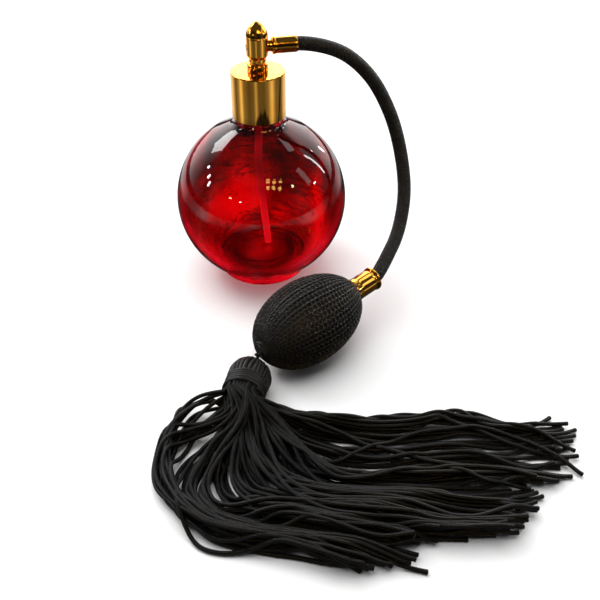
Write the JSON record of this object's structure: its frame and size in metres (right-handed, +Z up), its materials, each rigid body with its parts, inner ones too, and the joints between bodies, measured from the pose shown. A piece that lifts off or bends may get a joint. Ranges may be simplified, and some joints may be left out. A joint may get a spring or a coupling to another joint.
{
  "type": "perfume bottle with bulb sprayer",
  "caption": "Round glass perfume flacon with a screw collar, a swivelling spray head, a braided air hose, a knitted squeeze bulb and a cord tassel.",
  "frame": {"origin": "centre of the flat underside of the bottle's foot, on the table", "axes": "+Z up along the axis of the bottle, collar and stem; +X towards the side that the hose leaves the head on; +Y away from the bulb and tassel"},
  "size_m": [0.146, 0.198, 0.1074],
  "materials": {
    "glass": "clear deep red flint glass, polished",
    "gold": "polished, lacquered gold plate",
    "raw_brass": "turned, bare",
    "liner": "white moulded polypropylene",
    "gasket": "soft white polyethylene foam",
    "tube": "translucent extruded polyethylene",
    "seal": "black nitrile",
    "hose_rubber": "black latex tube",
    "braid": "black braided polyester, slight sheen",
    "steel": "ground ball",
    "valve": "natural nylon",
    "knit": "black openwork knit of rayon cord",
    "wood": "plain turned",
    "cord": "black satin cord, fine braid"
  },
  "bodies": {
    "bottle": {"glass_bottle": "glass"},
    "sprayer": {"neck_gasket": "gasket", "sprayer_stem": "raw_brass", "stem_ring": "gold", "dip_tube": "tube"},
    "collar": {"collar_shell": "gold", "collar_liner": "liner"},
    "head": {"head_body": "gold", "head_dome": "gold", "dome_seal": "seal", "liquid_jet": "raw_brass", "nozzle_insert": "raw_brass", "hose_barb": "raw_brass", "port_ferrule": "gold", "hose_tube": "hose_rubber", "hose_braid": "braid"},
    "bulb": {"bulb_connector": "gold", "outlet_valve_body": "raw_brass", "rubber_bulb": "hose_rubber", "bulb_cover": "knit", "inlet_valve_body": "valve"},
    "outlet_valve": {"outlet_valve_ball": "steel"},
    "inlet_valve": {"inlet_valve_ball": "steel"},
    "tassel": {"tassel_loop": "cord", "tassel_core": "wood", "tassel_head": "cord", "tassel_band": "cord", "skirt_root": "cord", "skirt_left": "cord", "skirt_middle": "cord", "skirt_run": "cord", "skirt_ends": "cord"}
  },
  "joints": [
    {"name": "sprayer_rise", "type": "slide", "parent": "bottle", "child": "sprayer", "axis": [0, 0, 1], "range_m": [0, 0.00375]},
    {"name": "collar_turn", "type": "hinge", "parent": "sprayer", "child": "collar", "pos_m": [0, 0, 0.08], "axis": [0, 0, 1], "range_deg": [0, 450]},
    {"name": "head_swivel", "type": "hinge", "parent": "sprayer", "child": "head", "pos_m": [0, 0, 0.0945], "axis": [0, 0, 1], "continuous": true},
    {"name": "bulb_lift", "type": "hinge", "parent": "head", "child": "bulb", "pos_m": [0.0149, 0.0032, 0.0978], "axis": [-1, 0, 0], "range_deg": [0, 25], "deforming": ["hose_tube", "hose_braid"]},
    {"name": "bulb_squeeze", "type": "slide", "parent": "bulb", "child": "inlet_valve", "axis": [-0.7458, -0.6598, -0.0924], "range_m": [0, 0.0006], "deforming": ["rubber_bulb", "bulb_cover"]},
    {"name": "outlet_valve_lift", "type": "slide", "parent": "bulb", "child": "outlet_valve", "axis": [0.7458, 0.6598, 0.0924], "range_m": [0, 0.0006]},
    {"name": "tassel_swing", "type": "hinge", "parent": "bulb", "child": "tassel", "pos_m": [0.0003, -0.077, 0.011], "axis": [0, 0, 1], "range_deg": [-45, 20]}
  ],
  "couplings": [
    {"joint": "collar_turn", "follows": "sprayer_rise", "rad_per_m": 2094.4},
    {"joint": "outlet_valve_lift", "follows": "bulb_squeeze", "ratio": 1}
  ]
}
